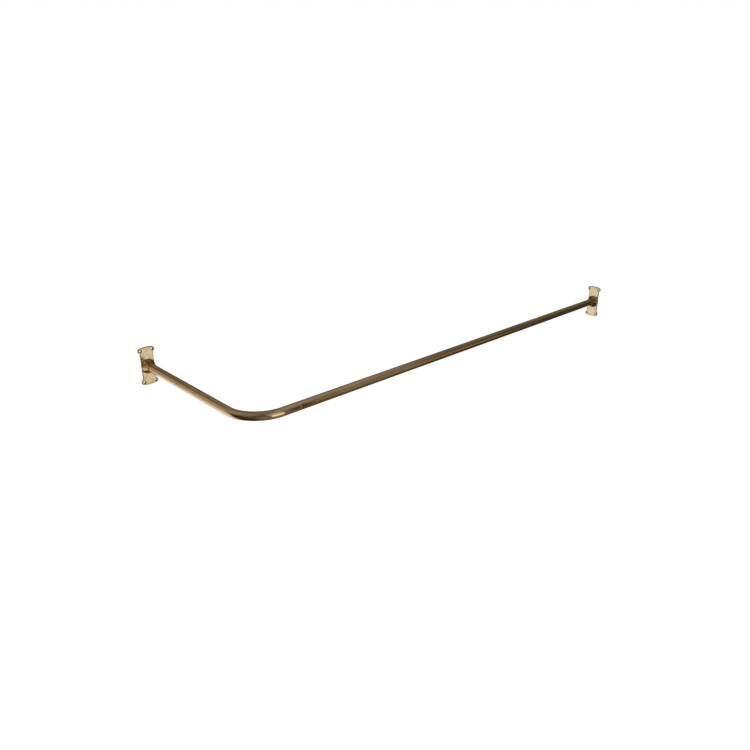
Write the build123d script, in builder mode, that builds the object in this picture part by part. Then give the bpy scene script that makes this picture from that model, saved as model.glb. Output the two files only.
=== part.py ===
from build123d import *
import os
from math import sqrt

# Corner shower curtain rod: an L of brass tube between two cast wall flanges.
# The origin is the middle of the long leg's flange, on its back face against the wall.
# +X runs along the long leg into its wall, +Y along the short leg into its wall, and +Z is up.
# All sizes are in millimetres.

# Rod
rod_diameter = 25.4
rod_wall = 1.2
long_leg = 1701.8  # wall of the long leg to the axis of the short leg
short_leg = 571.5  # wall of the short leg to the axis of the long leg
bend_radius = 104.0  # at the tube's axis
joint_run = 52.0  # straight run from the end of the bend to the butt joint
joint_gap = 0.1  # between the two tube ends
joint_chamfer = 0.35  # broken edge of each tube end at the joint

# Splice sleeve inside the joint
sleeve_wall = 1.6
sleeve_clearance = 0.1  # radial, inside the tubes
sleeve_setback = 15.0  # how far the sleeve stops short of the bend
sleeve_chamfer = 0.8

# Flange plate
plate_thickness = 4.8
ear_radius = 8.4
screw_spacing_across = 38.0
screw_spacing_up = 104.0
crown_rise = 1.8  # how far the top and bottom edges bow out past the ears
neck_radius = 5.0  # hollow where a side turns out into an ear
plate_edge_round = 1.8

# Countersunk holes for the wall screws
wall_hole_diameter = 5.2
countersink_diameter = 9.8
countersink_angle = 90.0

# Flared socket, a little wider than the plate's waist at its foot
bell_radius = 22.2  # at its foot
bell_height = 28.0  # above the plate's front
bell_hollow = 2.0  # how far the bell's side bows in from a straight cone
waist_inset = 0.9  # how far the plate's sides lie inside the bell at the waist
lip_width = 1.2  # flat ring round the socket's mouth
lip_round = 0.5
socket_clearance = 0.2  # radial, around the tube
socket_floor = 2.0  # metal left between the socket and the wall
tube_end_gap = 0.3  # between a tube's end and the bottom of its socket

# Set screw under each bell
set_screw_diameter = 5.0
set_screw_length = 4.0
set_screw_clearance = 0.05  # radial, in its hole
set_screw_seat_gap = 0.05  # between its point and the tube
set_screw_height = 8.0  # its axis above the plate's front
set_screw_point = 0.7  # chamfer of its point
hex_across_flats = 2.5
hex_depth = 2.0

# Derived sizes
rod_radius = rod_diameter / 2
bore_radius = rod_radius - rod_wall
sleeve_radius = bore_radius - sleeve_clearance
sleeve_half = joint_run - sleeve_setback
socket_radius = rod_radius + socket_clearance
tube_end = socket_floor + tube_end_gap
waist_half = bell_radius - waist_inset
plate_half_height = screw_spacing_up / 2 + ear_radius + crown_rise
corner_x = -long_leg
bend_end_x = corner_x + bend_radius
joint_x = bend_end_x + joint_run

# A flange is drawn on its wall: x across the plate, y up, z out of the wall along the rod.
long_leg_wall = Plane(origin=(0, 0, 0), x_dir=(0, -1, 0), z_dir=(-1, 0, 0))
short_leg_wall = Plane(origin=(corner_x, short_leg, 0), x_dir=(1, 0, 0), z_dir=(0, -1, 0))


def on_circle(center: Vector, toward: Vector, radius: float) -> Vector:
    """Point of a circle on the ray from its centre through another point."""
    return center + (toward - center).normalized() * radius


def arc_between(start: Vector, end: Vector, center: Vector, radius: float) -> None:
    """Draw the shorter arc of a circle between two of its points."""
    ThreePointArc(start, on_circle(center, (start + end) / 2, radius), end)


def plate_outline() -> Sketch:
    """The waisted plate with an ear at each corner, every arc tangent to the next."""
    ear = Vector(screw_spacing_across / 2, screw_spacing_up / 2)

    # The crown's arc holds both upper ears and passes through the middle of the plate's top.
    top = Vector(0, plate_half_height)
    drop = ear_radius + crown_rise
    crown_radius = (ear.X**2 + drop**2 - ear_radius**2) / (2 * crown_rise)
    crown = top - Vector(0, crown_radius)

    # The neck's circle lies outside the plate and touches both its side and the ear.
    neck_x = waist_half + neck_radius
    neck = Vector(neck_x, ear.Y - sqrt((ear_radius + neck_radius) ** 2 - (neck_x - ear.X) ** 2))

    side_end = Vector(waist_half, neck.Y)
    ear_start = on_circle(ear, neck, ear_radius)
    ear_end = on_circle(crown, ear, crown_radius)

    with BuildSketch() as outline:
        with BuildLine():
            Line((waist_half, 0), side_end)
            arc_between(side_end, ear_start, neck, neck_radius)
            arc_between(ear_start, ear_end, ear, ear_radius)
            arc_between(ear_end, top, crown, crown_radius)
            mirror(about=Plane.YZ)
            mirror(about=Plane.XZ)
        make_face()
    return outline.sketch


def cast_flange(wall: Plane) -> Part:
    """One wall flange: a plate with ears, a flared socket for the tube and its screw holes.

    Args:
        wall: the wall's plane, with z out of the wall along the rod.
    Returns:
        The flange's solid.
    """
    front = wall.offset(plate_thickness)
    mouth = front.offset(bell_height)
    out_axis = Axis(wall.origin, wall.z_dir)
    section = Plane(origin=wall.origin, x_dir=wall.x_dir, z_dir=-wall.y_dir)
    screw_hole = Plane(origin=front.offset(set_screw_height).origin, x_dir=wall.x_dir, z_dir=-wall.y_dir)

    with BuildPart() as flange:
        # Plate with a rounded front edge
        with BuildSketch(wall):
            add(plate_outline())
        extrude(amount=plate_thickness)
        front_face = flange.faces().sort_by(out_axis)[-1]
        fillet(front_face.edges(), plate_edge_round)

        # Bell turned about the rod's axis, upright through the plate and then closing in to the lip
        bell_top = plate_thickness + bell_height
        with BuildSketch(section):
            with BuildLine():
                shoulder = (bell_radius, plate_thickness)
                lip = (socket_radius + lip_width, bell_top)
                Line((0, 0), (bell_radius, 0))
                Line((bell_radius, 0), shoulder)
                SagittaArc(shoulder, lip, bell_hollow)
                Line(lip, (0, bell_top))
                Line((0, bell_top), (0, 0))
            make_face()
        revolve(axis=out_axis)
        fillet(flange.edges().sort_by(out_axis)[-1], lip_round)

        # Blind socket for the tube
        with Locations(mouth):
            Hole(socket_radius, depth=bell_top - socket_floor)

        # Set screw hole from below, into the socket
        with BuildSketch(screw_hole):
            Circle(set_screw_diameter / 2 + set_screw_clearance)
        extrude(amount=bell_radius, mode=Mode.SUBTRACT)

        # Wall screw holes in the ears
        with Locations(front):
            with GridLocations(screw_spacing_across, screw_spacing_up, 2, 2):
                CounterSinkHole(
                    wall_hole_diameter / 2, countersink_diameter / 2, counter_sink_angle=countersink_angle
                )
    return flange.part


def set_screw(wall: Plane) -> Part:
    """One set screw, point up against the tube in its flange.

    Args:
        wall: the wall's plane, with z out of the wall along the rod.
    Returns:
        The screw's solid.
    """
    axis_point = wall.offset(plate_thickness + set_screw_height).origin
    upright = Plane(origin=axis_point, x_dir=wall.x_dir, z_dir=-wall.y_dir)
    point = upright.offset(rod_radius + set_screw_seat_gap)
    head = point.offset(set_screw_length)
    with BuildPart() as screw:
        with BuildSketch(point):
            Circle(set_screw_diameter / 2)
        extrude(amount=set_screw_length)
        chamfer(screw.faces().sort_by(Axis.Z)[-1].edges(), set_screw_point)
        with BuildSketch(head):
            RegularPolygon(hex_across_flats / 2, 6, major_radius=False)
        extrude(amount=-hex_depth, mode=Mode.SUBTRACT)
    return screw.part


os.makedirs("parts", exist_ok=True)

# Corner tube: from the short leg's socket, round the bend, to the butt joint
short_end = short_leg - tube_end
with BuildPart() as corner_tube:
    with BuildLine() as corner_path:
        Line((corner_x, short_end, 0), (corner_x, bend_radius, 0))
        TangentArc((corner_x, bend_radius, 0), (bend_end_x, 0, 0), tangent=(0, -1, 0))
        Line((bend_end_x, 0, 0), (joint_x, 0, 0))
    with BuildSketch(short_leg_wall.offset(tube_end)):
        Circle(rod_radius)
    sweep(path=corner_path.wire())
    with BuildSketch(short_leg_wall.offset(tube_end)):
        Circle(bore_radius)
    sweep(path=corner_path.wire(), mode=Mode.SUBTRACT)
    corner_joint_edges = corner_tube.faces().sort_by(Axis.X)[-1].edges()
    chamfer(corner_joint_edges.sort_by(SortBy.LENGTH)[-1], joint_chamfer)
corner_tube.part.label = "corner_tube"
export_step(corner_tube.part, "parts/corner_tube.step")

# Long tube: from the butt joint to the long leg's socket
long_start_x = joint_x + joint_gap
with BuildPart() as long_tube:
    with BuildSketch(Plane.YZ.offset(long_start_x)):
        Circle(rod_radius)
        Circle(bore_radius, mode=Mode.SUBTRACT)
    extrude(amount=-tube_end - long_start_x)
    long_joint_edges = long_tube.faces().sort_by(Axis.X)[0].edges()
    chamfer(long_joint_edges.sort_by(SortBy.LENGTH)[-1], joint_chamfer)
long_tube.part.label = "long_tube"
export_step(long_tube.part, "parts/long_tube.step")

# Splice sleeve: half in each tube
with BuildPart() as splice_sleeve:
    with BuildSketch(Plane.YZ.offset(joint_x - sleeve_half)):
        Circle(sleeve_radius)
        Circle(sleeve_radius - sleeve_wall, mode=Mode.SUBTRACT)
    extrude(amount=2 * sleeve_half)
    for end_face in splice_sleeve.faces().filter_by(GeomType.PLANE):
        chamfer(end_face.edges().sort_by(SortBy.LENGTH)[-1], sleeve_chamfer)
splice_sleeve.part.label = "splice_sleeve"
export_step(splice_sleeve.part, "parts/splice_sleeve.step")

# Flanges and their set screws
for leg, leg_wall in (("short_leg", short_leg_wall), ("long_leg", long_leg_wall)):
    leg_flange = cast_flange(leg_wall)
    leg_flange.label = f"{leg}_flange"
    export_step(leg_flange, f"parts/{leg}_flange.step")
    leg_screw = set_screw(leg_wall)
    leg_screw.label = f"{leg}_set_screw"
    export_step(leg_screw, f"parts/{leg}_set_screw.step")
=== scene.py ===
"""Looks of a corner shower curtain rod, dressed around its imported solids.

The frame is the solids' own: the origin lies on the long leg's wall, +X runs along the long leg into that
wall, +Y along the short leg into the other wall, and +Z is up. Lengths are in metres and angles in degrees.
"""

import logging
import math
from collections.abc import Mapping, Sequence
from dataclasses import dataclass, field
from enum import Enum
from typing import Any

import bmesh
import bpy
from mathutils import Euler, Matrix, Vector


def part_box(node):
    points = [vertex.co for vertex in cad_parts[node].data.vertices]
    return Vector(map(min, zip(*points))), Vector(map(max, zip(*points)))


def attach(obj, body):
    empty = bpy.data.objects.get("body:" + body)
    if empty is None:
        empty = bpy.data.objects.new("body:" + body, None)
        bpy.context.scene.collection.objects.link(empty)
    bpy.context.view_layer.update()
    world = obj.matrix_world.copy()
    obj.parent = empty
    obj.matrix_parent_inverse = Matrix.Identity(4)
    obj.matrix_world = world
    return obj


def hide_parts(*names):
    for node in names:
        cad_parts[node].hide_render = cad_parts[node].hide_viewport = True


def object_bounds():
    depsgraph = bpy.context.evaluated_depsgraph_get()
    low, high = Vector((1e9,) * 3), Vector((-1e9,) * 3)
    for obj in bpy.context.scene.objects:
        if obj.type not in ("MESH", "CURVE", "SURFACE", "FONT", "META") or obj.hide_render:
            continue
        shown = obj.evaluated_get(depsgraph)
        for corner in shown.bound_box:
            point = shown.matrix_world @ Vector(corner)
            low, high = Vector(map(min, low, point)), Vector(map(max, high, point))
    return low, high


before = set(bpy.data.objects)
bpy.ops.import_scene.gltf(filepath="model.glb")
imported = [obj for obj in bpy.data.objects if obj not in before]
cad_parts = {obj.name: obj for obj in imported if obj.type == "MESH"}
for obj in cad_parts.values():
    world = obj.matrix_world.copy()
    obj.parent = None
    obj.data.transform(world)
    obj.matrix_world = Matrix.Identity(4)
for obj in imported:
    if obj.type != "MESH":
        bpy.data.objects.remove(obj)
CAD_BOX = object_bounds()
LOG = logging.getLogger("curtain_rod")

Colour = tuple[float, float, float]
Direction = tuple[float, float, float]
WHITE = (1.0, 1.0, 1.0, 1.0)


class Slot(Enum):
    """Material slots of the record, by their names."""

    ROD = "rod_brass"
    SCREW = "screw_steel"


class Leg(Enum):
    """The rod's two legs, by the names that their nodes start with."""

    SHORT = "short_leg"
    LONG = "long_leg"


class Signal:
    """An output socket of a node tree, so that maths on it reads as a Python expression."""

    def __init__(self, graph: "NodeGraph", socket: bpy.types.NodeSocket) -> None:
        """Keep the socket and the graph that it belongs to.

        Args:
            graph: the graph that new maths nodes go into.
            socket: the output socket.
        """
        self.graph = graph
        self.socket = socket

    def other(self, name: str) -> "Signal":
        """Another output of the same node."""
        return Signal(self.graph, find_socket(self.socket.node.outputs, name))

    def __add__(self, value: "Signal | float") -> "Signal":
        """Sum."""
        return self.graph.maths("ADD", self, value)

    def __radd__(self, value: float) -> "Signal":
        """Sum with a number on the left."""
        return self.graph.maths("ADD", value, self)

    def __sub__(self, value: "Signal | float") -> "Signal":
        """Difference."""
        return self.graph.maths("SUBTRACT", self, value)

    def __rsub__(self, value: float) -> "Signal":
        """Difference with a number on the left."""
        return self.graph.maths("SUBTRACT", value, self)

    def __mul__(self, value: "Signal | float") -> "Signal":
        """Product."""
        return self.graph.maths("MULTIPLY", self, value)

    def __rmul__(self, value: float) -> "Signal":
        """Product with a number on the left."""
        return self.graph.maths("MULTIPLY", value, self)

    def __truediv__(self, value: "Signal | float") -> "Signal":
        """Quotient."""
        return self.graph.maths("DIVIDE", self, value)

    def __rtruediv__(self, value: float) -> "Signal":
        """Quotient with a number on the left."""
        return self.graph.maths("DIVIDE", value, self)

    def __pow__(self, value: "Signal | float") -> "Signal":
        """Power."""
        return self.graph.maths("POWER", self, value)

    def __abs__(self) -> "Signal":
        """Size without sign."""
        return self.graph.maths("ABSOLUTE", self)


def find_socket(sockets: Sequence[bpy.types.NodeSocket], key: str | int) -> bpy.types.NodeSocket:
    """Find one socket of a node.

    Args:
        sockets: the node's inputs or outputs.
        key: the socket's identifier, its name or its place in the list.
    Returns:
        The socket.
    """
    if isinstance(key, int):
        return sockets[key]
    for socket in sockets:
        if socket.identifier == key:
            return socket
    return sockets[key]


class NodeGraph:
    """A node tree that is written as calls and expressions."""

    def __init__(self, tree: bpy.types.NodeTree) -> None:
        """Keep the tree that the nodes go into."""
        self.tree = tree

    def node(
        self,
        kind: str,
        settings: Mapping[str, Any] | None = None,
        inputs: Mapping[str | int, Any] | None = None,
        out: str | int = 0,
    ) -> Signal:
        """Add a node.

        Args:
            kind: the node's type.
            settings: the node's own properties, set before its sockets.
            inputs: a value, a signal or a list of signals for each socket that is set.
            out: the output to hand back.
        Returns:
            That output.
        """
        made = self.tree.nodes.new(kind)
        for name, value in (settings or {}).items():
            setattr(made, name, value)
        for key, value in (inputs or {}).items():
            socket = find_socket(made.inputs, key)
            for part in value if isinstance(value, list) else [value]:
                if isinstance(part, Signal):
                    self.tree.links.new(part.socket, socket)
                else:
                    socket.default_value = part
        return Signal(self, find_socket(made.outputs, out)) if made.outputs else Signal(self, made.inputs[0])

    def maths(self, operation: str, *values: Signal | float) -> Signal:
        """A Math node on one, two or three values."""
        return self.node("ShaderNodeMath", {"operation": operation}, dict(enumerate(values)))

    def vector_maths(self, operation: str, *values: Signal | Sequence[float], out: str | int = 0) -> Signal:
        """A Vector Math node on one or two vectors."""
        return self.node("ShaderNodeVectorMath", {"operation": operation}, dict(enumerate(values)), out)

    def scaled(self, vector: Signal, factor: Signal | float) -> Signal:
        """A vector times a number."""
        return self.node("ShaderNodeVectorMath", {"operation": "SCALE"}, {0: vector, "Scale": factor})

    def combined(self, x: Signal | float, y: Signal | float, z: Signal | float) -> Signal:
        """A vector from its three parts."""
        return self.node("ShaderNodeCombineXYZ", inputs={"X": x, "Y": y, "Z": z})

    def parts(self, vector: Signal) -> tuple[Signal, Signal, Signal]:
        """The three parts of a vector."""
        x = self.node("ShaderNodeSeparateXYZ", inputs={"Vector": vector}, out="X")
        return x, x.other("Y"), x.other("Z")


class ShaderGraph(NodeGraph):
    """The node tree of one material."""

    def __init__(self, name: str) -> None:
        """Make an empty material of that name."""
        self.material = bpy.data.materials.new(name)
        self.material.use_nodes = True
        self.material.node_tree.nodes.clear()
        super().__init__(self.material.node_tree)

    def surface(self, shader: Signal) -> bpy.types.Material:
        """Join a shader to the material's output and hand the material back."""
        self.node("ShaderNodeOutputMaterial", inputs={"Surface": shader})
        return self.material

    def metal(self, colour: Signal, roughness: Signal, normal: Signal) -> bpy.types.Material:
        """Finish the material as a bare metal.

        Args:
            colour: the metal's colour.
            roughness: how dull it is.
            normal: the bumped normal.
        Returns:
            The material.
        """
        inputs = {"Base Color": colour, "Metallic": 1.0, "Roughness": roughness, "Normal": normal}
        return self.surface(self.node("ShaderNodeBsdfPrincipled", inputs=inputs))

    def attribute(self, name: str, out: str) -> Signal:
        """An attribute that the piece's mesh carries."""
        return self.node("ShaderNodeAttribute", {"attribute_name": name}, out=out)

    def place(self) -> Signal:
        """The Object coordinates."""
        return self.node("ShaderNodeTexCoord", out="Object")

    def noise(
        self,
        place: Signal,
        per_metre: Sequence[float],
        detail: float = 2.0,
        rough: float = 0.5,
    ) -> Signal:
        """Cloudy noise about 0.5.

        Args:
            place: the coordinates, in metres.
            per_metre: how many clouds a metre holds along each axis.
            detail: octaves of finer noise.
            rough: weight of each finer octave.
        Returns:
            The noise.
        """
        vector = self.vector_maths("MULTIPLY", place, per_metre)
        inputs = {"Vector": vector, "Scale": 1.0, "Detail": detail, "Roughness": rough}
        return self.node("ShaderNodeTexNoise", inputs=inputs, out="Fac")

    def step(self, value: Signal, start: float, end: float) -> Signal:
        """A smooth step from 0 at start to 1 at end."""
        inputs = {"Value": value, "From Min": start, "From Max": end}
        return self.node("ShaderNodeMapRange", {"interpolation_type": "SMOOTHSTEP"}, inputs, out="Result")

    def blend(self, factor: Signal, first: Signal | Colour, second: Signal | Colour) -> Signal:
        """Two colours mixed."""
        colours = [c if isinstance(c, Signal) else (*c, 1.0) for c in (first, second)]
        inputs = {"Factor_Float": factor, "A_Color": colours[0], "B_Color": colours[1]}
        return self.node("ShaderNodeMix", {"data_type": "RGBA"}, inputs, out="Result_Color")

    def bump(self, height: Signal, distance: float, below: Signal | None = None) -> Signal:
        """A bumped normal.

        Args:
            height: the relief, from 0 to 1.
            distance: the relief's depth.
            below: the normal of a coarser relief.
        Returns:
            The normal.
        """
        inputs = {"Height": height, "Strength": 1.0, "Distance": distance}
        if below is not None:
            inputs["Normal"] = below
        return self.node("ShaderNodeBump", inputs=inputs)


@dataclass(frozen=True)
class RodBrass:
    """Drawn brass tube, polished lengthwise and mellowed by age.

    It reads the tube's own attributes: rod_space holds the distance from the joint and the place in the
    section, and from_wall the distance from the end in the socket.
    """

    name: str = "rod_brass_finish"
    bright: Colour = (0.69, 0.525, 0.32)
    mellow: Colour = (0.54, 0.385, 0.215)
    grime_and_shade: Colour = (0.10, 0.065, 0.035)
    # paler, redder band at the joint: a painted highlight on the joint's edge
    seam_highlight: Colour = (0.74, 0.53, 0.40)
    # colour of a painted dark reflection on the tubes beside the joint
    dark_patch: Colour = (0.22, 0.145, 0.075)
    dullness: float = 0.07
    line_depth: float = 0.0000006
    wave_depth: float = 0.00012
    seam_highlight_width: float = 0.002
    dark_patch_reach: float = 0.07  # how far the painted dark reflection reaches on each side of the joint
    dark_patch_side: Direction = (0.0, -0.983, 0.184)  # where the painted dark reflection is darkest, seen from the tube's axis
    mouth: float = 0.0308  # distance from the tube's end to just outside the socket's mouth
    mouth_ring_width: float = 0.0016

    def material(self) -> bpy.types.Material:
        """Build the material."""
        shade = ShaderGraph(self.name)
        rod = shade.attribute("rod_space", "Vector")
        from_joint, _, _ = shade.parts(rod)
        from_wall = shade.attribute("from_wall", "Fac")

        lines = shade.noise(rod, (9.0, 1500.0, 1500.0), detail=2.0)
        streaks = shade.noise(rod, (2.2, 170.0, 170.0), detail=2.0)
        cloud = shade.noise(rod, (11.0, 40.0, 40.0), detail=2.0)
        freckles = shade.step(shade.noise(rod, (300.0, 420.0, 420.0), detail=1.0), 0.70, 0.80)
        smudges = shade.step(shade.noise(rod, (28.0, 60.0, 60.0), detail=3.0), 0.52, 0.75)

        # painted highlight: a pale band along the joint, also made a little duller
        seam_highlight = 1.0 - shade.step(from_joint, self.seam_highlight_width / 2, self.seam_highlight_width)
        _, y, z = shade.parts(shade.place())
        outward = shade.vector_maths("NORMALIZE", shade.combined(0.0, y, z))
        facing = shade.vector_maths("DOT_PRODUCT", outward, self.dark_patch_side, out="Value")
        # painted dark reflection: one side of the tubes is darkened near the joint
        dark_patch = shade.step(facing, 0.92, 0.99) * (1.0 - shade.step(from_joint, 0.0, self.dark_patch_reach))
        # darker ring where the tube enters the socket: partly dirt, partly painted shade
        mouth = 1.0 - shade.step(abs(from_wall - self.mouth), 0.0, self.mouth_ring_width)

        age = shade.step(streaks * 0.55 + cloud * 0.45, 0.38, 0.64)
        tone = shade.blend(age, self.bright, self.mellow)
        tone = shade.blend(dark_patch * (cloud * 0.8 + 0.3), tone, self.dark_patch)
        tone = shade.blend(seam_highlight * 0.9, tone, self.seam_highlight)
        tone = shade.blend(freckles * 0.35, tone, self.grime_and_shade)
        tone = shade.blend(mouth * 0.3, tone, self.grime_and_shade)
        dull = (lines - 0.5) * 0.08 + smudges * 0.06 + freckles * 0.15 + self.dullness
        dull = dull + mouth * 0.18 + seam_highlight * 0.22
        wave = shade.bump(shade.noise(rod, (14.0, 30.0, 30.0), detail=1.0), self.wave_depth)
        return shade.metal(tone, dull, shade.bump(lines, self.line_depth, wave))


@dataclass(frozen=True)
class FlangeBrass:
    """Cast brass, buffed bright, with grime left in its creases and painted shade on its bell, its edges and
    under the bell.

    Its pattern is laid out on the wall: u across the plate, v up and w out of the wall.
    """

    name: str
    heading: float  # turn about the upright that brings +w onto the object's own -Y
    wall_point: Vector  # middle of the flange's back face
    bell_radius: float
    plate_thickness: float
    bell_height: float
    mouth_radius: float
    screw_across: float
    screw_up: float
    countersink_radius: float
    bright: Colour = (0.75, 0.59, 0.375)
    warm: Colour = (0.63, 0.485, 0.285)
    # the bell's darker brass: painted shade on a part cast in one piece with the plate
    shaded_bell: Colour = (0.47, 0.315, 0.14)
    grime_and_shade: Colour = (0.16, 0.11, 0.06)
    dullness: float = 0.12
    scratch_depth: float = 0.000002
    cast_depth: float = 0.00004
    edge_round: float = 0.0018  # rounding of the plate's front edge, which the buffing wheel leaves dull; it and the plate's sides are also painted darker, as painted shade
    crease_shade_start: float = 0.010  # how far below the rod's axis the crease's grime begins to widen into painted shade under the bell
    crease_shade_full: float = 0.017  # and where it has spread most
    crease_shade_spread: float = 1.4  # how much wider it lies there, as a share
    crease_width: float = 0.0022  # reach of the crease's grime and painted shade from the bell's foot
    crease_height: float = 0.003  # and its reach up the bell
    rim_width: float = 0.0009  # darker ring round the socket's mouth, where the tube enters: partly grime, partly painted shade
    rim_depth: float = 0.003
    sunk_inside: float = 0.0012  # where the countersink's grime fades, inside its edge
    sunk_outside: float = 0.0004  # and outside it
    back_depth: float = 0.0012  # unbuffed strip next to the wall
    bell_fade: float = 0.003  # height in which the plate's tone turns into the bell's darker tone, which is painted shade

    def material(self) -> bpy.types.Material:
        """Build the material."""
        shade = ShaderGraph(self.name)
        turn = Euler((0.0, 0.0, math.radians(self.heading)))
        shift = -self.wall_point
        shift.rotate(turn)
        mapping = {"Vector": shade.place(), "Location": shift, "Rotation": turn}
        wall = shade.node("ShaderNodeMapping", {"vector_type": "POINT"}, mapping)
        across, depth, up = shade.parts(wall)
        out = 0.0 - depth

        radius = shade.maths("SQRT", across * across + up * up)
        over_plate = out - self.plate_thickness
        # painted shade under the bell: below the rod's axis the crease's dark mark is widened
        spread = shade.step(0.0 - up, self.crease_shade_start, self.crease_shade_full) * self.crease_shade_spread + 1.0
        near_plate = 1.0 - shade.step(over_plate / spread, 0.0008, self.crease_height)
        crease = 1.0 - shade.step(abs(radius - self.bell_radius) / spread, 0.0002, self.crease_width)
        crease = crease * near_plate * shade.step(over_plate, -0.0006, -0.0001)
        rim = 1.0 - shade.step(radius - self.mouth_radius, 0.0001, self.rim_width)
        rim = rim * shade.step(over_plate, self.bell_height - self.rim_depth, self.bell_height - 0.0005)
        hole_u = abs(across) - self.screw_across / 2
        hole_v = abs(up) - self.screw_up / 2
        hole = shade.maths("SQRT", hole_u * hole_u + hole_v * hole_v)
        sunk_from = self.countersink_radius - self.sunk_inside
        sunk = 1.0 - shade.step(hole, sunk_from, self.countersink_radius + self.sunk_outside)
        back = 1.0 - shade.step(out, 0.0002, self.back_depth)
        # painted shade: the plate's rounded edge and its sides are darkened
        shaded_side = 1.0 - shade.step(over_plate, -self.edge_round / 2, -self.edge_round / 30)
        bell = shade.step(over_plate, 0.0004, self.bell_fade)
        # grime in the crease and the countersinks, with painted shade under the bell and round the socket's
        # mouth
        dirt_and_shade = shade.maths("MAXIMUM", shade.maths("MAXIMUM", crease, rim * 0.35), sunk * 0.55)

        mottle = shade.noise(wall, (95.0, 95.0, 95.0), detail=3.0)
        scratches = shade.noise(wall, (700.0, 700.0, 60.0), detail=3.0, rough=0.6)
        pits = shade.step(shade.noise(wall, (800.0, 800.0, 800.0), detail=0.0), 0.76, 0.86)
        tone = shade.blend(shade.step(mottle, 0.35, 0.65), self.bright, self.warm)
        # painted shade: the bell is darkened against the plate
        tone = shade.blend(bell * (mottle * 0.9 + 0.35), tone, self.shaded_bell)
        tone = shade.blend(shaded_side * (mottle * 0.5 + 0.45), tone, self.grime_and_shade)
        tone = shade.blend(pits * 0.3, tone, self.grime_and_shade)
        tone = shade.blend(dirt_and_shade * (0.55 + mottle * 0.5), tone, self.grime_and_shade)
        dull = (scratches - 0.5) * 0.10 + (mottle - 0.5) * 0.10 + dirt_and_shade * 0.25 + self.dullness
        dull = dull + shade.maths("MAXIMUM", shaded_side * 0.08, back * 0.3)
        cast = shade.bump(shade.noise(wall, (70.0, 70.0, 70.0), detail=2.0), self.cast_depth)
        return shade.metal(tone, dull, shade.bump(scratches - pits * 0.8, self.scratch_depth, cast))


@dataclass(frozen=True)
class SleeveBrass:
    """Drawn brass as it comes from the mill, with die lines along it."""

    name: str = "sleeve_brass_finish"
    bright: Colour = (0.68, 0.545, 0.32)
    dark: Colour = (0.52, 0.39, 0.21)
    dullness: float = 0.34
    line_depth: float = 0.000008

    def material(self) -> bpy.types.Material:
        """Build the material."""
        shade = ShaderGraph(self.name)
        place = shade.place()
        lines = shade.noise(place, (12.0, 1300.0, 1300.0), detail=3.0)
        dark_patch = shade.noise(place, (60.0, 60.0, 60.0), detail=3.0)
        tone = shade.blend(shade.step(dark_patch, 0.35, 0.7), self.bright, self.dark)
        dull = (lines - 0.5) * 0.15 + (dark_patch - 0.5) * 0.15 + self.dullness
        return shade.metal(tone, dull, shade.bump(lines, self.line_depth))


@dataclass(frozen=True)
class ScrewSteel:
    """Turned steel with a little tarnish."""

    name: str = "screw_steel_finish"
    bright: Colour = (0.58, 0.57, 0.55)
    dark: Colour = (0.30, 0.27, 0.23)
    dullness: float = 0.3
    turning_depth: float = 0.000006

    def material(self) -> bpy.types.Material:
        """Build the material."""
        shade = ShaderGraph(self.name)
        place = shade.place()
        turning = shade.noise(place, (250.0, 250.0, 5200.0), detail=2.0)
        dark_patch = shade.noise(place, (420.0, 420.0, 420.0), detail=3.0)
        tone = shade.blend(shade.step(dark_patch, 0.45, 0.75), self.bright, self.dark)
        dull = (turning - 0.5) * 0.2 + (dark_patch - 0.5) * 0.2 + self.dullness
        return shade.metal(tone, dull, shade.bump(turning, self.turning_depth))


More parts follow.
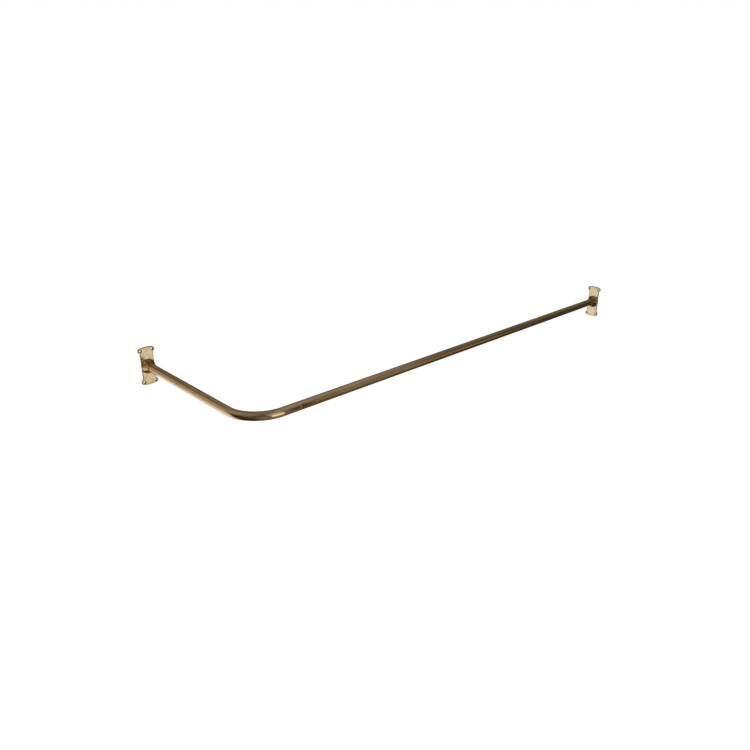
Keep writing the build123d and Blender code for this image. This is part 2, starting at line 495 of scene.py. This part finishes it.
class PieceTree(NodeGraph):
    """A node tree that makes one kind of piece from a few named sizes."""

    START: str = "Start"  # the points that the piece is made on
    SIZES: Mapping[str, str] = {}
    WELD: float = 0.000001
    SHARP_ANGLE: float = 0.5  # radians

    def __init__(self, name: str) -> None:
        """Make the tree with its named inputs and all its nodes."""
        tree = bpy.data.node_groups.new(name, "GeometryNodeTree")
        super().__init__(tree)
        tree.interface.new_socket(self.START, in_out="INPUT", socket_type="NodeSocketGeometry")
        self.identifiers: dict[str, str] = {}
        for size, kind in {**self.SIZES, "Finish": "NodeSocketMaterial"}.items():
            socket = tree.interface.new_socket(size, in_out="INPUT", socket_type=kind)
            self.identifiers[size] = socket.identifier
        tree.interface.new_socket("Piece", in_out="OUTPUT", socket_type="NodeSocketGeometry")
        self.start = self.node("NodeGroupInput")
        whole = self.node("GeometryNodeRealizeInstances", inputs={"Geometry": self.skin()})
        finish = {"Geometry": whole, "Material": self.size("Finish")}
        self.node("NodeGroupOutput", inputs={"Piece": self.node("GeometryNodeSetMaterial", inputs=finish)})

    def skin(self) -> Signal:
        """The piece's closed skin, which each kind of piece makes in its own way."""
        raise NotImplementedError

    def size(self, name: str) -> Signal:
        """One of the named sizes."""
        return self.start.other(name)

    def welded(self, sheets: list[Signal]) -> Signal:
        """Open sheets joined along their edges into one skin, shaded round with crisp folds."""
        skin = self.node("GeometryNodeJoinGeometry", inputs={"Geometry": sheets})
        skin = self.node("GeometryNodeMergeByDistance", inputs={"Geometry": skin, "Distance": self.WELD})
        faces = {"Geometry": skin, "Shade Smooth": True}
        skin = self.node("GeometryNodeSetShadeSmooth", {"domain": "FACE"}, faces)
        fold = self.node("GeometryNodeInputMeshEdgeAngle", out="Unsigned Angle")
        crisp = self.maths("GREATER_THAN", fold, self.SHARP_ANGLE)
        edges = {"Geometry": skin, "Selection": crisp, "Shade Smooth": False}
        return self.node("GeometryNodeSetShadeSmooth", {"domain": "EDGE"}, edges)

    def piece(self, name: str, points: Sequence[Vector], sizes: Mapping[str, Any]) -> bpy.types.Object:
        """Make one piece and turn it into a plain mesh.

        Args:
            name: the piece's name.
            points: the points that it is made on, each joined to the next.
            sizes: a value for every named input of the tree.
        Returns:
            The piece.
        """
        start = bpy.data.meshes.new(name)
        start.from_pydata(points, [(i, i + 1) for i in range(len(points) - 1)], [])
        made = shown(name, start)
        modifier = made.modifiers.new(self.tree.name, "NODES")
        modifier.node_group = self.tree
        for size, value in sizes.items():
            modifier[self.identifiers[size]] = value
        graph = bpy.context.evaluated_depsgraph_get()
        made.data = bpy.data.meshes.new_from_object(made.evaluated_get(graph), depsgraph=graph)
        made.modifiers.remove(modifier)
        bpy.data.meshes.remove(start)
        made.data.name = name
        return made


class TubeTree(PieceTree):
    """Turns a route of straight runs into a bent hollow tube with a broken edge at its last end."""

    START = "Route"
    SIZES = {
        "Rod Radius": "NodeSocketFloat",
        "Bore Radius": "NodeSocketFloat",
        "Bend Radius": "NodeSocketFloat",
        "Bend Point": "NodeSocketInt",
        "Bend Steps": "NodeSocketInt",
        "Round Steps": "NodeSocketInt",
        "Joint Chamfer": "NodeSocketFloat",
    }

    def stored(self, geometry: Signal, name: str, kind: str, value: Signal) -> Signal:
        """Geometry with one more attribute on its points.

        Args:
            geometry: what the attribute goes on.
            name: the attribute's name.
            kind: its data type.
            value: what it holds.
        Returns:
            The geometry.
        """
        settings = {"data_type": kind, "domain": "POINT"}
        inputs = {"Geometry": geometry, "Name": name, "Value": value}
        return self.node("GeometryNodeStoreNamedAttribute", settings, inputs)

    def named(self, name: str, kind: str) -> Signal:
        """An attribute that was stored before."""
        settings = {"data_type": kind}
        return self.node("GeometryNodeInputNamedAttribute", settings, {"Name": name}, out="Attribute")

    def path(self) -> Signal:
        """The tube's axis: the route with its corner rounded, and the distances from both its ends."""
        curve = self.node("GeometryNodeMeshToCurve", inputs={"Mesh": self.start})
        index = self.node("GeometryNodeInputIndex")
        corner = {"A_INT": index, "B_INT": self.size("Bend Point")}
        at_corner = self.node("FunctionNodeCompare", {"data_type": "INT", "operation": "EQUAL"}, corner)
        radius = at_corner * self.size("Bend Radius")
        bend = {"Curve": curve, "Count": self.size("Bend Steps"), "Radius": radius}
        curve = self.node("GeometryNodeFilletCurve", {"mode": "POLY"}, bend)
        run = self.node("GeometryNodeSplineParameter", out="Length")
        whole = self.node("GeometryNodeSplineLength", out="Length")
        curve = self.stored(curve, "from_wall", "FLOAT", run)
        curve = self.stored(curve, "from_joint", "FLOAT", whole - run)
        return self.stored(curve, "axis_point", "FLOAT_VECTOR", self.node("GeometryNodeInputPosition"))

    def wall(self, path: Signal, radius: Signal, scale: Signal | float) -> Signal:
        """One round wall along the path, open at both ends.

        Args:
            path: the tube's axis.
            radius: the wall's radius.
            scale: how much of that radius each point of the path keeps.
        Returns:
            The wall's mesh.
        """
        circle = {"Resolution": self.size("Round Steps"), "Radius": radius}
        section = self.node("GeometryNodeCurvePrimitiveCircle", {"mode": "RADIUS"}, circle)
        section = self.stored(section, "section", "FLOAT_VECTOR", self.node("GeometryNodeInputPosition"))
        inputs = {"Curve": path, "Profile Curve": section, "Scale": scale}
        return self.node("GeometryNodeCurveToMesh", inputs=inputs)

    def skin(self) -> Signal:
        """The outer wall, the bore and the ring between them at each end, with the tube's own coordinates."""
        path = self.path()
        rod = self.size("Rod Radius")
        bore = self.size("Bore Radius")
        at_joint = self.node("GeometryNodeCurveEndpointSelection", inputs={"Start Size": 0, "End Size": 1})
        outer = self.wall(path, rod, 1.0 - at_joint * self.size("Joint Chamfer") / rod)

        faces_at_edge = self.node("GeometryNodeInputMeshEdgeNeighbors", out="Face Count")
        open_edge = {"A_INT": faces_at_edge, "B_INT": 1}
        is_open = self.node("FunctionNodeCompare", {"data_type": "INT", "operation": "EQUAL"}, open_edge)
        ring = {"Mesh": outer, "Selection": is_open, "Offset Scale": 0.0}
        ringed = self.node("GeometryNodeExtrudeMesh", {"mode": "EDGES"}, ring, out="Mesh")
        axis = self.named("axis_point", "FLOAT_VECTOR")
        outward = self.vector_maths("SUBTRACT", self.node("GeometryNodeInputPosition"), axis)
        inward = self.scaled(self.vector_maths("NORMALIZE", outward), bore)
        place = {"Geometry": ringed, "Selection": ringed.other("Top")}
        place["Position"] = self.vector_maths("ADD", axis, inward)
        ringed = self.node("GeometryNodeSetPosition", inputs=place)

        inner = self.node("GeometryNodeFlipFaces", inputs={"Mesh": self.wall(path, bore, 1.0)})
        skin = self.welded([ringed, inner])
        x, y, _ = self.parts(self.named("section", "FLOAT_VECTOR"))
        rod_space = self.combined(self.named("from_joint", "FLOAT"), x, y)
        skin = self.stored(skin, "rod_space", "FLOAT_VECTOR", rod_space)
        for spent in ("section", "axis_point", "from_joint"):
            skin = self.node("GeometryNodeRemoveAttribute", inputs={"Geometry": skin, "Name": spent})
        return skin


class SetScrewTree(PieceTree):
    """Sets a screw with a rolled thread on each seat: its head looks down and has a hexagon socket."""

    START = "Seats"  # where the middle of each head lies
    SIZES = {
        "Radius": "NodeSocketFloat",
        "Length": "NodeSocketFloat",
        "Pitch": "NodeSocketFloat",
        "Thread Depth": "NodeSocketFloat",
        "Point Chamfer": "NodeSocketFloat",
        "Hex Across Flats": "NodeSocketFloat",
        "Hex Depth": "NodeSocketFloat",
        "Drill Depth": "NodeSocketFloat",
        "Round Steps": "NodeSocketInt",
        "Pitch Steps": "NodeSocketInt",
    }

    def sheet(self, rows: Signal | int, radius: Signal, height: Signal | float) -> Signal:
        """A sheet wound once round the screw's axis.

        Args:
            rows: how many rows of faces it has.
            radius: each point's distance from the axis.
            height: each point's height above the head.
        Returns:
            The sheet's mesh.
        """
        around = self.size("Round Steps") + 1
        grid = {"Size X": 1.0, "Size Y": 1.0, "Vertices X": around, "Vertices Y": rows + 1}
        flat = self.node("GeometryNodeMeshGrid", inputs=grid)
        turn, _ = self.winding()
        x = radius * self.maths("COSINE", turn)
        y = radius * self.maths("SINE", turn)
        place = {"Geometry": flat, "Position": self.combined(x, y, height)}
        return self.node("GeometryNodeSetPosition", inputs=place)

    def winding(self) -> tuple[Signal, Signal]:
        """A flat sheet's turn round the axis, in radians, and its way from 0 at its first row to 1."""
        x, y, _ = self.parts(self.node("GeometryNodeInputPosition"))
        return (x + 0.5) * math.tau, y + 0.5

    def skin(self) -> Signal:
        """The thread, the point, the head's face and its socket, as one closed skin on each seat."""
        radius, length, pitch, depth = (self.size(n) for n in ("Radius", "Length", "Pitch", "Thread Depth"))
        turn, along = self.winding()
        root = radius - depth
        point = radius - self.size("Point Chamfer")
        height = along * length
        wave = self.maths("COSINE", height * math.tau / pitch - turn)
        thread = radius - (wave + 1.0) * depth / 2.0
        thread = self.maths("MINIMUM", thread, self.maths("MINIMUM", root + height, point + length - height))

        sixth = math.tau / 6
        corner = self.maths("MODULO", turn, sixth) - sixth / 2
        hexagon = self.size("Hex Across Flats") / 2.0 / self.maths("COSINE", corner)
        hex_depth = self.size("Hex Depth")
        back = 1.0 - along
        screw = self.welded(
            [
                self.sheet(length / pitch * self.size("Pitch Steps"), thread, height),
                self.sheet(1, point * back, length),
                self.sheet(1, hexagon + (root - hexagon) * along, 0.0),
                self.sheet(1, hexagon, hex_depth * back),
                self.sheet(1, hexagon * along, hex_depth + self.size("Drill Depth") * back),
            ]
        )
        return self.node("GeometryNodeInstanceOnPoints", inputs={"Points": self.start, "Instance": screw})


def shown(name: str, mesh: bpy.types.Mesh) -> bpy.types.Object:
    """A new object of the scene, at the origin.

    Args:
        name: the object's name.
        mesh: its mesh.
    Returns:
        The object.
    """
    made = bpy.data.objects.new(name, mesh)
    bpy.context.scene.collection.objects.link(made)
    return made


def dressed(node: str, material: bpy.types.Material) -> None:
    """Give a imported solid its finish.

    Args:
        node: the solid's node.
        material: the finish.
    """
    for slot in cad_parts[node].material_slots:
        slot.material = material
    LOG.info("%s: solid dressed in %s", node, material.name)


def stands_for(piece: bpy.types.Object, node: str) -> None:
    """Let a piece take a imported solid's place.

    Args:
        piece: the piece.
        node: the solid's node.
    """
    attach(piece, "root")
    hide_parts(node)
    LOG.info("%s: %d faces for %s", piece.name, len(piece.data.polygons), node)


@dataclass
class Rod:
    """The two tubes of the rod and the sleeve inside their joint."""

    radius: float = 0.0127
    wall: float = 0.0012
    bend_radius: float = 0.104
    joint_chamfer: float = 0.00035
    bend_lead: float = 0.002  # where the last ring of a straight run lies before the bend
    bend_steps: int = 64
    round_steps: int = 96
    finish: RodBrass = field(default_factory=RodBrass)
    sleeve_finish: SleeveBrass = field(default_factory=SleeveBrass)

    def build(self) -> None:
        """Make both tubes and dress the sleeve."""
        tree = TubeTree("bent_tube")
        material = self.finish.material()
        corner_low, corner_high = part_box("corner_tube")
        long_low, long_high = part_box("long_tube")
        axis_x = corner_low.x + self.radius
        lead = self.bend_radius + self.bend_lead
        chamfer = self.joint_chamfer

        corner_route = [
            Vector((axis_x, corner_high.y, 0.0)),
            Vector((axis_x, lead, 0.0)),
            Vector((axis_x, 0.0, 0.0)),
            Vector((axis_x + lead, 0.0, 0.0)),
            Vector((corner_high.x - chamfer, 0.0, 0.0)),
            Vector((corner_high.x, 0.0, 0.0)),
        ]
        corner_point = corner_route.index(Vector((axis_x, 0.0, 0.0)))
        long_route = [
            Vector((long_high.x, 0.0, 0.0)),
            Vector((long_low.x + chamfer, 0.0, 0.0)),
            Vector((long_low.x, 0.0, 0.0)),
        ]
        self.tube("bent_corner_tube", "corner_tube", corner_route, corner_point, tree, material)
        self.tube("straight_long_tube", "long_tube", long_route, -1, tree, material)
        dressed("splice_sleeve", self.sleeve_finish.material())

    def tube(
        self,
        name: str,
        node: str,
        route: list[Vector],
        bend_point: int,
        tree: TubeTree,
        material: bpy.types.Material,
    ) -> None:
        """Make one tube along its route and let it stand for its solid.

        Args:
            name: the piece's name.
            node: the solid that it stands for.
            route: the corners of the tube's axis, from the socket to the joint.
            bend_point: the place in the route of the corner that is bent, or -1.
            tree: the tree that makes the tube.
            material: the tube's finish.
        """
        sizes = {
            "Rod Radius": self.radius,
            "Bore Radius": self.radius - self.wall,
            "Bend Radius": self.bend_radius,
            "Bend Point": bend_point,
            "Bend Steps": self.bend_steps,
            "Round Steps": self.round_steps,
            "Joint Chamfer": self.joint_chamfer,
            "Finish": material,
        }
        stands_for(tree.piece(name, route, sizes), node)


@dataclass
class SetScrew:
    """The set screw under a flange's bell, which holds the tube in its socket."""

    leg: Leg
    radius: float = 0.0025
    pitch: float = 0.0008
    thread_depth: float = 0.00044
    point_chamfer: float = 0.0007
    hex_across_flats: float = 0.0025
    hex_depth: float = 0.002
    drill_depth: float = 0.0004
    round_steps: int = 48
    pitch_steps: int = 16

    def build(self, tree: SetScrewTree, material: bpy.types.Material) -> None:
        """Make the screw and let it stand for its solid.

        Args:
            tree: the tree that makes the screw.
            material: its finish.
        """
        node = f"{self.leg.value}_set_screw"
        low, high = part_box(node)
        middle = (low + high) / 2
        sizes = {
            "Radius": self.radius,
            "Length": high.z - low.z,
            "Pitch": self.pitch,
            "Thread Depth": self.thread_depth,
            "Point Chamfer": self.point_chamfer,
            "Hex Across Flats": self.hex_across_flats,
            "Hex Depth": self.hex_depth,
            "Drill Depth": self.drill_depth,
            "Round Steps": self.round_steps,
            "Pitch Steps": self.pitch_steps,
            "Finish": material,
        }
        seat = Vector((middle.x, middle.y, low.z))
        stands_for(tree.piece(f"threaded_{node}", [seat], sizes), node)


@dataclass
class WallFlange:
    """One cast flange."""

    leg: Leg
    heading: float
    plate_thickness: float = 0.0048
    bell_radius: float = 0.0222  # at its foot
    bell_height: float = 0.028
    mouth_radius: float = 0.0129
    screw_across: float = 0.038
    screw_up: float = 0.104
    countersink_radius: float = 0.0049

    def build(self) -> None:
        """Dress the flange."""
        node = f"{self.leg.value}_flange"
        low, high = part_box(node)
        middle = (low + high) / 2
        if self.leg is Leg.LONG:
            wall_point = Vector((high.x, middle.y, middle.z))
        else:
            wall_point = Vector((middle.x, high.y, middle.z))
        finish = FlangeBrass(
            name=f"{node}_finish",
            heading=self.heading,
            wall_point=wall_point,
            bell_radius=self.bell_radius,
            plate_thickness=self.plate_thickness,
            bell_height=self.bell_height,
            mouth_radius=self.mouth_radius,
            screw_across=self.screw_across,
            screw_up=self.screw_up,
            countersink_radius=self.countersink_radius,
        )
        dressed(node, finish.material())


@dataclass(frozen=True)
class Window:
    """A white panel of the dark tent, by its directions from the tent's middle."""

    azimuth: tuple[float, float]  # from +X towards +Y
    elevation: tuple[float, float]
    fade: float  # width of its soft border
    level: float = 1.0  # the white background is 1

    def inside(self, shade: ShaderGraph, angle: Signal, span: tuple[float, float]) -> Signal:
        """1 where an angle lies in a span, with a soft border."""
        half = self.fade / 2
        from_low = shade.step(angle, span[0] - half, span[0] + half)
        return from_low * (1.0 - shade.step(angle, span[1] - half, span[1] + half))

    def mask(self, shade: ShaderGraph, azimuth: Signal, elevation: Signal) -> Signal:
        """1 inside the window and 0 outside it."""
        return self.inside(shade, azimuth, self.azimuth) * self.inside(shade, elevation, self.elevation)


@dataclass(frozen=True)
class Glow:
    """A soft lighter or darker patch of the dark tent, by its direction from the tent's middle."""

    azimuth: float
    elevation: float
    reach: float  # angle at which the patch has faded out
    strength: float

    def middle(self) -> Vector:
        """The direction of the patch's middle."""
        azimuth, elevation = math.radians(self.azimuth), math.radians(self.elevation)
        flat = math.cos(elevation)
        return Vector((flat * math.cos(azimuth), flat * math.sin(azimuth), math.sin(elevation)))


@dataclass
class Studio:
    """A white floor far below the rod, a dim tent for the metal to mirror, a lamp and a white surround."""

    floor_drop: float = 2.0
    floor_half: float = 60.0
    floor_grey: float = 0.8
    ambient: float = 0.6
    tent_radius: float = 1.9
    tent_steps: int = 96
    tent_warm: Colour = (1.0, 0.82, 0.55)
    tent_pale: Colour = (1.0, 0.94, 0.86)
    tent_low: float = 0.04
    tent_high: float = 0.25
    fold_depth: float = 0.5  # how much the tent's level folds lighten and darken it
    windows: tuple[Window, ...] = (
        Window(azimuth=(112.0, 168.0), elevation=(-46.0, -10.0), fade=7.0),
        Window(azimuth=(-119.0, -84.5), elevation=(-30.0, 2.0), fade=7.0),
        Window(azimuth=(-119.0, -84.5), elevation=(-16.0, -1.0), fade=7.0, level=1.45),
    )
    glows: tuple[Glow, ...] = (
        Glow(azimuth=143.0, elevation=-10.0, reach=34.0, strength=0.50),
        Glow(azimuth=98.0, elevation=28.0, reach=22.0, strength=0.10),
        Glow(azimuth=156.0, elevation=25.0, reach=34.0, strength=0.15),
        Glow(azimuth=-174.0, elevation=26.0, reach=32.0, strength=0.12),
        Glow(azimuth=-150.0, elevation=-4.0, reach=24.0, strength=0.09),
        Glow(azimuth=-134.0, elevation=-12.0, reach=18.0, strength=0.20),
        Glow(azimuth=-108.0, elevation=16.0, reach=28.0, strength=0.60),
        Glow(azimuth=-118.0, elevation=-46.0, reach=36.0, strength=0.20),
        Glow(azimuth=-76.0, elevation=-36.0, reach=38.0, strength=0.10),
        Glow(azimuth=-60.0, elevation=-64.0, reach=34.0, strength=0.06),
        Glow(azimuth=-66.0, elevation=28.0, reach=24.0, strength=0.07),
        Glow(azimuth=-61.0, elevation=-2.0, reach=28.0, strength=0.27),
        Glow(azimuth=-58.0, elevation=62.0, reach=36.0, strength=0.12),
        Glow(azimuth=-34.0, elevation=-6.0, reach=24.0, strength=0.05),
        Glow(azimuth=-39.0, elevation=3.0, reach=10.0, strength=0.04),
        Glow(azimuth=-29.0, elevation=4.0, reach=13.0, strength=-0.03),
        Glow(azimuth=-26.0, elevation=37.0, reach=22.0, strength=-0.06),
        Glow(azimuth=-8.0, elevation=22.0, reach=25.0, strength=0.085),
        Glow(azimuth=30.0, elevation=48.0, reach=26.0, strength=0.05),
        Glow(azimuth=40.0, elevation=68.0, reach=30.0, strength=0.07),
    )
    key_place: Vector = field(default_factory=lambda: Vector((-1.6, -1.4, 2.4)))
    key_size: float = 1.6
    key_watts: float = 30.0

    def build(self) -> None:
        """Make the floor, the tent, the lamp and the world."""
        self.floor()
        self.tent()
        self.key_lamp()
        self.world()

    def seen(self, graph: NodeGraph) -> Signal:
        """1 for the rays that show the background itself: to the camera, in a mirror and through glass."""
        camera = graph.node("ShaderNodeLightPath", out="Is Camera Ray")
        glossy = camera.other("Is Glossy Ray")
        through = camera.other("Is Transmission Ray")
        return graph.maths("MINIMUM", camera + glossy + through, 1.0)

    def floor(self) -> None:
        """A wide floor that shows white and takes the rod's shadow."""
        low, high = CAD_BOX
        middle = (low + high) / 2
        h = self.floor_half
        corners = [(-h, -h), (h, -h), (h, h), (-h, h)]
        mesh = bpy.data.meshes.new("floor")
        z = low.z - self.floor_drop
        mesh.from_pydata([(middle.x + x, middle.y + y, z) for x, y in corners], [], [(0, 1, 2, 3)])
        shade = ShaderGraph("floor_white")
        grey = (self.floor_grey, self.floor_grey, self.floor_grey, 1.0)
        matt = shade.node("ShaderNodeBsdfDiffuse", inputs={"Color": grey})
        rest = 1.0 - self.floor_grey * self.ambient
        glow = {"Color": WHITE, "Strength": self.seen(shade) * rest}
        glow = shade.node("ShaderNodeEmission", inputs=glow)
        mesh.materials.append(shade.surface(shade.node("ShaderNodeAddShader", inputs={0: matt, 1: glow})))
        shown("floor", mesh)

    def tent(self) -> None:
        """A dim round tent with white windows, there only to be mirrored."""
        low, high = CAD_BOX
        middle = (low + high) / 2
        skin = bmesh.new()
        bmesh.ops.create_uvsphere(
            skin, u_segments=self.tent_steps, v_segments=self.tent_steps // 2, radius=self.tent_radius
        )
        bmesh.ops.translate(skin, vec=middle, verts=skin.verts)
        mesh = bpy.data.meshes.new("tent")
        skin.to_mesh(mesh)
        skin.free()

        shade = ShaderGraph("tent_grey")
        outward = shade.vector_maths("SUBTRACT", shade.place(), middle)
        outward = shade.vector_maths("NORMALIZE", outward)
        x, y, height = shade.parts(outward)
        azimuth = shade.maths("ARCTAN2", y, x) * math.degrees(1.0)
        elevation = shade.maths("ARCSINE", height) * math.degrees(1.0)
        glow = shade.step(height, -0.1, 1.0) * (self.tent_high - self.tent_low) + self.tent_low
        for patch in self.glows:
            nearness = shade.vector_maths("DOT_PRODUCT", outward, patch.middle(), out="Value")
            glow = glow + shade.step(nearness, math.cos(math.radians(patch.reach)), 1.0) * patch.strength
        folds = (shade.noise(outward, (1.2, 1.2, 9.0), detail=2.0) - 0.5) * self.fold_depth + 1.0
        glow = glow * folds
        tint = shade.blend(shade.step(height, 0.1, 0.8), self.tent_warm, self.tent_pale)
        for window in self.windows:
            white = window.mask(shade, azimuth, elevation)
            glow = glow + (window.level - glow) * white
            tint = shade.blend(white, tint, WHITE[:3])
        inputs = {"Color": tint, "Strength": glow}
        mesh.materials.append(shade.surface(shade.node("ShaderNodeEmission", inputs=inputs)))
        tent = shown("tent", mesh)
        tent.visible_camera = False
        tent.visible_diffuse = False
        tent.visible_transmission = False
        tent.visible_volume_scatter = False
        tent.visible_shadow = False

    def key_lamp(self) -> None:
        """A large soft lamp above the rod."""
        light = bpy.data.lights.new("key_lamp", "AREA")
        light.shape = "SQUARE"
        light.size = self.key_size
        light.energy = self.key_watts
        lamp = bpy.data.objects.new("key_lamp", light)
        lamp.location = self.key_place
        middle = (CAD_BOX[0] + CAD_BOX[1]) / 2
        lamp.rotation_euler = (middle - self.key_place).to_track_quat("-Z", "Y").to_euler()
        lamp.visible_glossy = False
        bpy.context.scene.collection.objects.link(lamp)

    def world(self) -> None:
        """A surround that shows white and lights softly."""
        world = bpy.data.worlds.new("surround")
        world.use_nodes = True
        world.node_tree.nodes.clear()
        bpy.context.scene.world = world
        graph = NodeGraph(world.node_tree)
        level = self.seen(graph) * (1.0 - self.ambient) + self.ambient
        glow = graph.node("ShaderNodeBackground", inputs={"Color": WHITE, "Strength": level})
        graph.node("ShaderNodeOutputWorld", inputs={"Surface": glow})


@dataclass
class PhotoCamera:
    """The camera at the photograph's viewing angle."""

    place: Vector = field(default_factory=lambda: Vector((-2.5262, -1.33921, 0.74978)))
    heading: float = 43.41  # from +Y towards +X
    pitch_down: float = 21.81
    focal_pixels: float = 666.02
    image_pixels: float = 750.0
    sensor: float = 36.0  # millimetres
    far: float = 200.0  # how far the camera sees

    def build(self) -> None:
        """Make the camera and look through it."""
        lens = bpy.data.cameras.new("photo_camera")
        lens.sensor_width = self.sensor
        lens.lens = self.sensor * self.focal_pixels / self.image_pixels
        lens.clip_end = self.far
        camera = bpy.data.objects.new("photo_camera", lens)
        camera.location = self.place
        camera.rotation_euler = (math.radians(90.0 - self.pitch_down), 0.0, math.radians(-self.heading))
        bpy.context.scene.collection.objects.link(camera)
        bpy.context.scene.camera = camera


def main() -> None:
    """Build the rod, its flanges, the studio and the camera."""
    logging.basicConfig(level=logging.INFO, format="%(message)s")
    bpy.context.scene.view_settings.view_transform = "Standard"
    PhotoCamera().build()
    Rod().build()
    WallFlange(Leg.SHORT, heading=0.0).build()
    WallFlange(Leg.LONG, heading=90.0).build()
    screw_tree = SetScrewTree("set_screw")
    screw_steel = ScrewSteel().material()
    for leg in Leg:
        SetScrew(leg).build(screw_tree, screw_steel)
    Studio().build()


if __name__ == "__main__":
    main()
